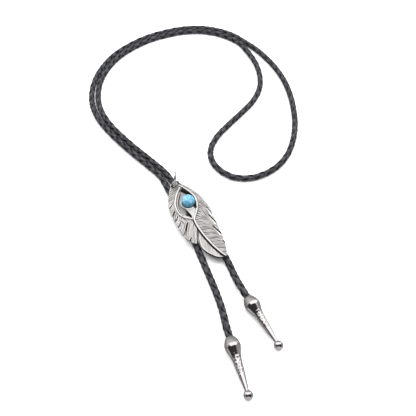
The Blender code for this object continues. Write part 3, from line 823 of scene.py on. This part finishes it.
def patina(skin, hollow):
    """How hollow (patina), how darkened by painted shade, and how bright from wear and painted highlights
    the casting looks at each point.
    """
    arch = skin.height > ARCH_HEIGHT
    off_loop = skin.across - LOOP_ACROSS
    hole = skin.spot(HOLE_SPOT, HOLE_SPOT_REACH)
    ridge_top = ramp(skin.from_line, *RIDGE_FADE) * (skin.height > RIDGE_BOTTOM)

    # Painted shade on steep walls: full in the eye's shaded part, a quarter on the eye's other raised walls,
    # less along the feather's outer edge
    in_shade = skin.in_eye & (skin.across > (skin.left + skin.right) / 2) & (skin.along < SHADE_TO)
    bright_wall = skin.in_eye & ~in_shade & (skin.height > WALL_ABOVE)
    walls = ramp(skin.normals[:, 2], *WALL_FACES) * np.where(bright_wall, EYE_WALL_SHARE, 1.0)
    walls = walls * np.where(skin.on_rim, RIM_WALL_SHARE, 1.0)
    # Painted shade on the eye's sunken floor, deepest inside the right border and in a spot at the eye's
    # lower end
    floor = FLOOR_SHADE + UNDER_RIGHT_SHADE * bell(skin.from_right, UNDER_RIGHT_WIDTH)
    floor = floor + END_SPOT_SHADE * skin.spot(END_SPOT, END_SPOT_REACH)
    painted_shade = walls + np.where(skin.in_eye, ramp(skin.height, *FLOOR_HEIGHT) * floor, 0)
    # Painted shade, cleared near the stone and full under its seat
    painted_shade = painted_shade * ramp(skin.from_stone, *STONE_CLEAR)
    painted_shade = painted_shade + (skin.from_stone < STONE_SEAT) * (skin.height < STONE_SEAT_TOP)

    # Painted shadow in the gap beside the stone, a painted dark hole, and painted shade inside the right
    # border
    in_gap = (skin.from_stone > GAP_RING[0]) & (skin.from_stone < GAP_RING[1])
    in_gap = in_gap & (skin.from_right > GAP_INSET)
    under_border = ramp(skin.from_right, *SHADE_INSET) * ramp(skin.share, *SHADE_END) * skin.in_eye
    under_border = under_border * ramp(by_share(SHADE_WIDTH, skin.share) - skin.from_right, 0, SHADE_FADE)
    painted_shade = painted_shade + hole * HOLE_SHADE + skin.gap_side * in_gap * GAP_SHADOW + under_border * SHADE_STAIN
    # Painted shade on the loop's shaded side and round its feet
    by_loop = ramp(np.abs(skin.along - LOOP_ALONG), *LOOP_FADE) * (skin.share < LOOP_REACH)
    by_loop = by_loop * (np.abs(off_loop - LOOP_INNER) < LOOP_HALF_SPAN)
    painted_shade = painted_shade + by_loop * np.where(arch, LOOP_ARCH_SHADE * (off_loop > LOOP_OUTER), LOOP_FOOT_SHADE)
    # Painted shade in a band beside the rib
    beside_rib = ramp(np.abs(skin.from_right - RIB_SHADE_INSET), *RIB_SHADE_FADE)
    painted_shade = painted_shade + beside_rib * (skin.share > RIB_FROM)
    painted_shade = painted_shade * np.where(skin.between_lines, BETWEEN_LINES_SHARE, 1.0)

    # Bright: wear on the edges, the ridges and the plate top; painted highlights on the lit sides of the cup
    # and the loop
    plate_top = skin.in_eye & (skin.height > PLATE_BOTTOM) & (skin.from_stone > CUP_RADIUS)
    plate_top = plate_top & (skin.along > PLATE_FROM)
    loop_lit_side = (skin.share < LOOP_BRIGHT_REACH) & arch & (off_loop < LOOP_INNER)
    wear_and_highlight = np.clip(-hollow * EDGE_WORN, 0, EDGE_WORN_MOST)
    wear_and_highlight = np.maximum(wear_and_highlight, np.maximum(skin.cup * CUP_HIGHLIGHT, ridge_top * RIDGE_WORN))
    wear_and_highlight = np.maximum(wear_and_highlight, np.where(plate_top, PLATE_WORN, 0) * (1 - np.clip(hole * HOLE_CLEAR, 0, 1)))
    wear_and_highlight = np.maximum(wear_and_highlight, np.where(loop_lit_side, LOOP_HIGHLIGHT, 0))

    left_of_eye = (skin.across < skin.left) & (skin.share < LEFT_OF_EYE_TO)
    hollow = np.clip(hollow, 0, 1) * (1 - skin.cup) * (1 - np.clip(ridge_top * RIDGE_CLEAR, 0, 1))
    hollow = hollow * np.where(left_of_eye, LEFT_HOLLOW_SHARE, 1.0)
    hollow = hollow * np.where(skin.on_leaf, LEAF_HOLLOW_SHARE, 1.0)
    hollow = hollow * np.where(skin.in_eye, EYE_HOLLOW_SHARE, 1.0)
    return hollow * np.where(skin.between_lines, BETWEEN_LINES_SHARE, 1.0), painted_shade, wear_and_highlight


def make_second_line():
    """The thin inner line of the eye's left border, as a closed strip."""
    along = np.linspace(*SECOND_LINE_REACH, SECOND_LINE_POINTS) * FEATHER_LENGTH
    border = line_across(LEFT_BORDER, along)
    section = [
        (-1, SECOND_LINE_ROOT), (1, SECOND_LINE_ROOT), (1, SECOND_LINE_EDGE), (0, SECOND_LINE_TOP),
        (-1, SECOND_LINE_EDGE)]
    corners = []
    for x, y, lean in zip(along, border, np.gradient(border, along)):
        side = Vector((-lean, 1, 0)).normalized()
        for out, height in section:
            across = side * (SECOND_LINE_INSET + out * SECOND_LINE_HALF_WIDTH)
            corners.append(tuple(feather_point(x + across.x, y + across.y, height)))
    return solid_from("second_line", corners, tube_faces(len(along), len(section)))


def make_feather():
    """The cast feather: the solid's form with soft cast edges, engraved barbs, patina in its hollows, and
    painted shade and highlights.
    """
    feather = put_in_scene("cast_feather", NODES["feather_plate"].data.copy())
    only(feather)
    bpy.ops.object.mode_set(mode="EDIT")
    bpy.ops.mesh.select_all(action="SELECT")
    bpy.ops.mesh.remove_doubles(threshold=WELD_DISTANCE)
    bpy.ops.object.mode_set(mode="OBJECT")
    second_line = make_second_line()
    only(feather)
    second_line.select_set(True)
    bpy.ops.object.join()
    cast = feather.modifiers.new("cast", "REMESH")
    cast.mode = "VOXEL"
    cast.voxel_size = FEATHER_VOXEL
    cast.use_smooth_shade = True
    bpy.ops.object.modifier_apply(modifier="cast")
    soften = feather.modifiers.new("soften", "SMOOTH")
    soften.factor = SOFTEN_SHARE
    soften.iterations = SOFTEN_ROUNDS
    bpy.ops.object.modifier_apply(modifier="soften")

    skin = FeatherSkin(feather.data)
    groove = barb_grooves(skin)
    sunk = ((smoothed(skin.points, skin.edges, HOLLOW_ROUNDS) - skin.points) * skin.normals).sum(axis=1)
    engraved = skin.points - skin.normals * (groove * BARB_DEPTH)[:, None]
    feather.data.vertices.foreach_set("co", engraved.ravel())
    feather.data.update()
    hollow, painted_shade, wear_and_highlight = patina(skin, sunk / HOLLOW_FULL)
    set_attribute(feather, "hollow", hollow)
    set_attribute(feather, "wear_and_highlight", wear_and_highlight)
    set_attribute(feather, "barb_groove", groove)
    set_attribute(feather, "painted_shade", painted_shade)
    dress(feather, "cast_feather", antiqued_silver(), "feather_plate")


STONE_SIDES = 64
STONE_ROWS = 40
STONE_SMOOTH_BELOW = 50
STONE_WAVES_PER_METRE = 300
STONE_WAVE_DEPTH = 0.00006
STONE_GIRDLE = 0.0001
STONE_EDGE_SHADE_FROM = 0.84
STONE_EDGE_SHADE_POWER = 1.5


def make_stone():
    """The cabochon: a sphere cut flat below, its dome drawn slightly uneven."""
    low, high = (Vector(corner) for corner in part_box("turquoise_stone"))
    radius = (high.x - low.x) / 2
    middle = Vector(((low.x + high.x) / 2, (low.y + high.y) / 2, high.z - radius))
    bpy.ops.object.select_all(action="DESELECT")
    bpy.ops.mesh.primitive_uv_sphere_add(
        segments=STONE_SIDES, ring_count=STONE_ROWS, radius=radius, location=middle)
    stone = bpy.context.object
    bpy.ops.object.mode_set(mode="EDIT")
    bpy.ops.mesh.select_all(action="SELECT")
    bpy.ops.mesh.bisect(
        plane_co=(middle.x, middle.y, low.z), plane_no=(0, 0, 1), use_fill=True, clear_inner=True,
        threshold=WELD_DISTANCE)
    bpy.ops.object.mode_set(mode="OBJECT")
    settle(stone)
    dome_edge_shades = []
    for vertex in stone.data.vertices:
        point = Vector(vertex.co)
        wave = 0.5 + 0.5 * noise.noise(point * STONE_WAVES_PER_METRE)
        if point.z > low.z + STONE_GIRDLE:
            vertex.co = point - (point - middle).normalized() * wave * STONE_WAVE_DEPTH
        # Painted shade, growing towards the edge of the dome
        slant = math.hypot(point.x - middle.x, point.y - middle.y) / radius
        dome_edge_shades.append(max(0.0, (slant - STONE_EDGE_SHADE_FROM) / (1 - STONE_EDGE_SHADE_FROM)) ** STONE_EDGE_SHADE_POWER)
    smooth_below(stone, STONE_SMOOTH_BELOW)
    set_attribute(stone, "dome_edge_shade", dome_edge_shades)
    dress(stone, "turquoise_cabochon", turquoise(), "turquoise_stone")


RING_SIDES = 72
WIRE_SIDES = 16
WIRE_SHARE = 0.98


def make_ring():
    """The jump ring: round wire, a hair thinner than its solid."""
    low, high = (Vector(corner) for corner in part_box("bail_ring"))
    wire = (high.x - low.x) / 2
    bpy.ops.object.select_all(action="DESELECT")
    bpy.ops.mesh.primitive_torus_add(
        major_segments=RING_SIDES, minor_segments=WIRE_SIDES, major_radius=(high.z - low.z) / 2 - wire,
        minor_radius=wire * WIRE_SHARE, location=(low + high) / 2, rotation=(0, math.pi / 2, 0))
    ring = bpy.context.object
    settle(ring)
    ring.data.shade_smooth()
    dress(ring, "wire_ring", bright_wire(), "bail_ring")


# Turned profile of a tip past its mouth: share of the length, share of the ridge's radius
COLLAR = [(0.20, 0.73), (0.45, 0.86), (0.72, 0.95), (0.90, 0.99)]
TAPER = [(0.04, 0.98), (0.09, 0.89), (0.14, 0.79), (0.21, 0.67), (0.29, 0.59), (0.50, 0.49), (0.71, 0.36)]
TIP_SIDES = 72
TIP_SMOOTH_BELOW = 60
COLLAR_ROWS = 5
SHAFT_ROWS = 4
SHAFT_ROW = 0.0002
BALL_ROWS = 21
MOUTH_CHAMFER = 0.0001
MOUTH_EDGE = 0.00015
SATIN_FADE = 0.0008

# Hammered dents, between two shares of the shaft
DENT_SPACING = 0.0015
DENTS_AROUND = 9
DENT_DEPTH = 0.00010
DENT_REACH = 0.62
DENT_JITTER = 0.35
CELL_MIDDLE = 0.5
HAMMERED_FROM = 0.15
HAMMERED_TO = 0.62
HAMMERED_FADE = 0.05


def tip_profile():
    """Radius and height down a tip, from the bottom of its socket over its mouth to its ball."""
    mouth = SOCKET_RADIUS + SOCKET_WALL
    run = TIP_LENGTH - RIDGE_PLACE
    neck = math.asin(NECK_RADIUS / BALL_RADIUS)
    collar = [(mouth, MOUTH_EDGE)] + [(TIP_RADIUS * wide, RIDGE_PLACE * along) for along, wide in COLLAR]
    collar.append((TIP_RADIUS, RIDGE_PLACE))
    shaft = [(TIP_RADIUS, RIDGE_PLACE)]
    shaft += [(TIP_RADIUS * wide, RIDGE_PLACE + run * along) for along, wide in TAPER]
    shaft.append((NECK_RADIUS, TIP_LENGTH - BALL_RADIUS * math.cos(neck)))
    turned = curve_through(collar, lambda a, b: COLLAR_ROWS)
    turned += curve_through(shaft, lambda a, b: max(SHAFT_ROWS, math.ceil((b - a).length / SHAFT_ROW)))[1:]
    profile = [
        (SOCKET_RADIUS, SOCKET_DEPTH), (SOCKET_RADIUS, MOUTH_CHAMFER), (SOCKET_RADIUS + MOUTH_CHAMFER, 0),
        (mouth - MOUTH_CHAMFER, 0)]
    profile += [tuple(point) for point in turned]
    for row in range(1, BALL_ROWS):
        angle = neck + (math.pi - neck) * row / BALL_ROWS
        profile.append((BALL_RADIUS * math.sin(angle), TIP_LENGTH - BALL_RADIUS * math.cos(angle)))
    return profile


def hammered(around, height, seed):
    """Depth of the hammer's dents at a place on a shaft: 1 in the middle of a dent, 0 between dents."""
    row = height / DENT_SPACING
    deepest = 0.0
    for near in (math.floor(row), math.floor(row) + 1):
        turn = noise.cell(Vector((near + CELL_MIDDLE, seed, CELL_MIDDLE))) * math.tau
        column = (around + turn) / math.tau * DENTS_AROUND
        dent = Vector((near + CELL_MIDDLE, round(column) % DENTS_AROUND + CELL_MIDDLE, seed))
        jitter = DENT_JITTER * (noise.cell(dent) - 0.5)
        off = math.hypot(row - near - jitter, column - round(column)) / DENT_REACH
        deepest = max(deepest, 1 - off ** 2)
    return deepest


def make_tip(name, node, spot, heading, seed):
    """One tip: a circle extruded row by row down its profile, then hammered along the shaft."""
    profile = tip_profile()
    bpy.ops.object.select_all(action="DESELECT")
    bpy.ops.mesh.primitive_circle_add(
        vertices=TIP_SIDES, radius=profile[0][0], fill_type="NGON", location=(0, 0, profile[0][1]))
    tip = bpy.context.object
    settle(tip)
    bpy.ops.object.mode_set(mode="EDIT")
    bpy.ops.mesh.select_all(action="SELECT")
    bpy.ops.mesh.select_mode(type="EDGE")
    bpy.ops.mesh.region_to_loop()
    for (radius, height), (wider, further) in zip(profile, profile[1:]):
        bpy.ops.mesh.extrude_region_move(TRANSFORM_OT_translate={"value": (0, 0, further - height)})
        bpy.ops.transform.resize(
            value=(wider / radius, wider / radius, 1), center_override=(0, 0, further), orient_type="GLOBAL")
    bpy.ops.mesh.edge_face_add()
    bpy.ops.mesh.poke()
    bpy.ops.object.mode_set(mode="OBJECT")
    face_outwards(tip)

    marks = []
    satins = []
    for vertex in tip.data.vertices:
        x, y, height = vertex.co
        share = (height - RIDGE_PLACE) / (TIP_LENGTH - RIDGE_PLACE)
        struck = within_unit((share - HAMMERED_FROM) / HAMMERED_FADE)
        struck = struck * within_unit((HAMMERED_TO - share) / HAMMERED_FADE)
        dent = hammered(math.atan2(y, x), height, seed) * struck
        marks.append(dent)
        satins.append(within_unit((RIDGE_PLACE - height) / SATIN_FADE))
        if dent > 0:
            vertex.co -= Vector((x, y, 0)).normalized() * dent * DENT_DEPTH
    smooth_below(tip, TIP_SMOOTH_BELOW)
    set_attribute(tip, "mark", marks)
    set_attribute(tip, "satin", satins)
    tip.location = tip_mouth(spot)
    tip.rotation_euler = tip_direction(heading).to_track_quat("Z", "Y").to_euler()
    settle(tip)
    dress(tip, name, polished_tip(), node)
    return tip


def make_clip():
    """The hidden clip keeps its solid and gets its steel."""
    clip = NODES["back_clip"]
    clip.data.materials.clear()
    clip.data.materials.append(clip_steel())


FLOOR_SIZE = 6
BACKDROP_RADIUS = 2.9
BACKDROP_SIDES = 48
BACKDROP_ROWS = 24
BACKDROP_FOOT = -0.001


def make_floor():
    """A wide sheet of pale paper."""
    bpy.ops.object.select_all(action="DESELECT")
    bpy.ops.mesh.primitive_plane_add(size=FLOOR_SIZE)
    floor = bpy.context.object
    floor.name = "floor"
    floor.data.materials.append(pale_floor())
    floor.visible_glossy = False


def make_backdrop():
    """A pale wall all round, so that low views end in plain paper. Only the camera sees it."""
    bpy.ops.object.select_all(action="DESELECT")
    bpy.ops.mesh.primitive_uv_sphere_add(
        segments=BACKDROP_SIDES, ring_count=BACKDROP_ROWS, radius=BACKDROP_RADIUS)
    wall = bpy.context.object
    wall.name = "backdrop"
    bpy.ops.object.mode_set(mode="EDIT")
    bpy.ops.mesh.select_all(action="SELECT")
    bpy.ops.mesh.bisect(plane_co=(0, 0, BACKDROP_FOOT), plane_no=(0, 0, 1), clear_inner=True)
    bpy.ops.mesh.select_all(action="SELECT")
    bpy.ops.mesh.flip_normals()
    bpy.ops.object.mode_set(mode="OBJECT")
    wall.data.shade_smooth()
    wall.data.materials.append(pale_wall())
    wall.visible_glossy = False
    wall.visible_diffuse = False
    wall.visible_shadow = False


# The studio as the metal mirrors it: where each part fades in, by direction from -1 to 1, and its level
SCREEN_FRONT = (-0.19, -0.10)
SCREEN_SLANT = 0.35
SCREEN_BACK = (0.64, 0.80)
SCREEN_LEFT = (-0.78, -0.64)
SCREEN_LEFT_SLANT = 0.9
SCREEN_RIGHT = (0.66, 0.86)
SCREEN_LEVEL = 1.45
BACK_LEVEL = 0.42
ROOM_LEVEL = 0.04
SIDES_FRONT = (-0.22, -0.06)
RIGHT_WALL = (0.50, 0.85)
RIGHT_LEVEL = 0.30
LEFT_WALL = (-0.92, -0.78)
LEFT_LEVEL = 0.50
FRONT_WALL = (-0.90, -0.74)
FRONT_LEVEL = 0.60
HORIZON = (-0.06, 0.04)
TABLE_SIDE = (-0.6, 0.1)
TABLE_LEVEL = 0.36
TABLE_LEFT_LEVEL = 0.30
TABLE_FRONT = (-0.45, -0.15)
TABLE_FRONT_LEVEL = 0.30

# Lamps: place, size in metres and power in watts
LAMP_TARGET = (0.01, 0.03, 0)
OVERHEAD_PLACE = (0.10, 0.15, 1.00)
OVERHEAD_SIZE = 1.5
OVERHEAD_POWER = 23
KEY_PLACE = (0.45, 0.45, 0.80)
KEY_SIZE = 0.8
KEY_POWER = 3


def soft_light(name, location, size, energy):
    """A large lamp that lights the paper and the leather but shows in no reflection."""
    lamp = bpy.data.lights.new(name, "AREA")
    lamp.size = size
    lamp.energy = energy
    made = put_in_scene(name, lamp)
    made.location = location
    made.rotation_euler = (Vector(LAMP_TARGET) - Vector(location)).to_track_quat("-Z", "Y").to_euler()
    made.visible_glossy = False


def make_light():
    """The studio round the tie, and the lamps that light it."""
    world = bpy.data.worlds.new("studio")
    bpy.context.scene.world = world
    world.use_nodes = True
    studio = Nodes(world.node_tree)
    direction = studio.node("TexCoord", output="Generated")
    side, back, up = (studio.node("SeparateXYZ", inputs={0: direction}, output=axis) for axis in "XYZ")
    past_left = studio.between(side + back * SCREEN_LEFT_SLANT, *SCREEN_LEFT)
    overhead = past_left * (1 - studio.between(side, *SCREEN_RIGHT))
    screen = studio.between(back - side * SCREEN_SLANT, *SCREEN_FRONT) * overhead
    level = SCREEN_LEVEL - (SCREEN_LEVEL - BACK_LEVEL) * studio.between(back, *SCREEN_BACK)
    beside = studio.between(back, *SIDES_FRONT)
    right_wall = beside * studio.between(side, *RIGHT_WALL)
    left_wall = beside * (1 - overhead) * (1 - studio.between(side, *LEFT_WALL))
    front_wall = 1 - studio.between(back, *FRONT_WALL)
    above = screen * level + (1 - screen) * ROOM_LEVEL
    above = above + right_wall * RIGHT_LEVEL + left_wall * LEFT_LEVEL + front_wall * FRONT_LEVEL
    table = TABLE_LEFT_LEVEL + (TABLE_LEVEL - TABLE_LEFT_LEVEL) * studio.between(side, *TABLE_SIDE)
    table = table + TABLE_FRONT_LEVEL * (1 - studio.between(back, *TABLE_FRONT))
    lifted = studio.between(up, *HORIZON)
    background = studio.tree.nodes["Background"]
    studio.feed(background.inputs["Color"], colour(1, 1, 1))
    studio.feed(background.inputs["Strength"], above * lifted + table * (1 - lifted))
    soft_light("overhead", OVERHEAD_PLACE, OVERHEAD_SIZE, OVERHEAD_POWER)
    soft_light("key", KEY_PLACE, KEY_SIZE, KEY_POWER)


CAMERA_DISTANCE_IN_PIXELS = 600
FRAME_PIXELS = 416
SENSOR_WIDTH = 36
CAMERA_NEAR = 0.01
CAMERA_PITCH = math.radians(51)
CAMERA_PLACE = (0.01252, -0.22275, 0.283)


def make_camera():
    """A camera at the photograph's angle, whose lens is given as a distance in pixels."""
    lens = bpy.data.cameras.new("camera")
    lens.sensor_width = SENSOR_WIDTH
    lens.lens = SENSOR_WIDTH * CAMERA_DISTANCE_IN_PIXELS / FRAME_PIXELS
    lens.clip_start = CAMERA_NEAR
    camera = put_in_scene("camera", lens)
    camera.location = CAMERA_PLACE
    camera.rotation_euler = (math.pi / 2 - CAMERA_PITCH, 0, 0)
    bpy.context.scene.camera = camera


LEFT_TIP_SEED = 1.5
RIGHT_TIP_SEED = 4.5

bpy.context.scene.view_settings.view_transform = "Standard"
make_camera()
cord, cord_path, cord_length = make_cord()
left_tip = make_tip("left_tip", "tip_left", TIP_LEFT_MOUTH, TIP_LEFT_HEADING, LEFT_TIP_SEED)
right_tip = make_tip("right_tip", "tip_right", TIP_RIGHT_MOUTH, TIP_RIGHT_HEADING, RIGHT_TIP_SEED)
make_feather()
make_stone()
make_ring()
make_clip()
make_floor()
make_backdrop()
make_light()
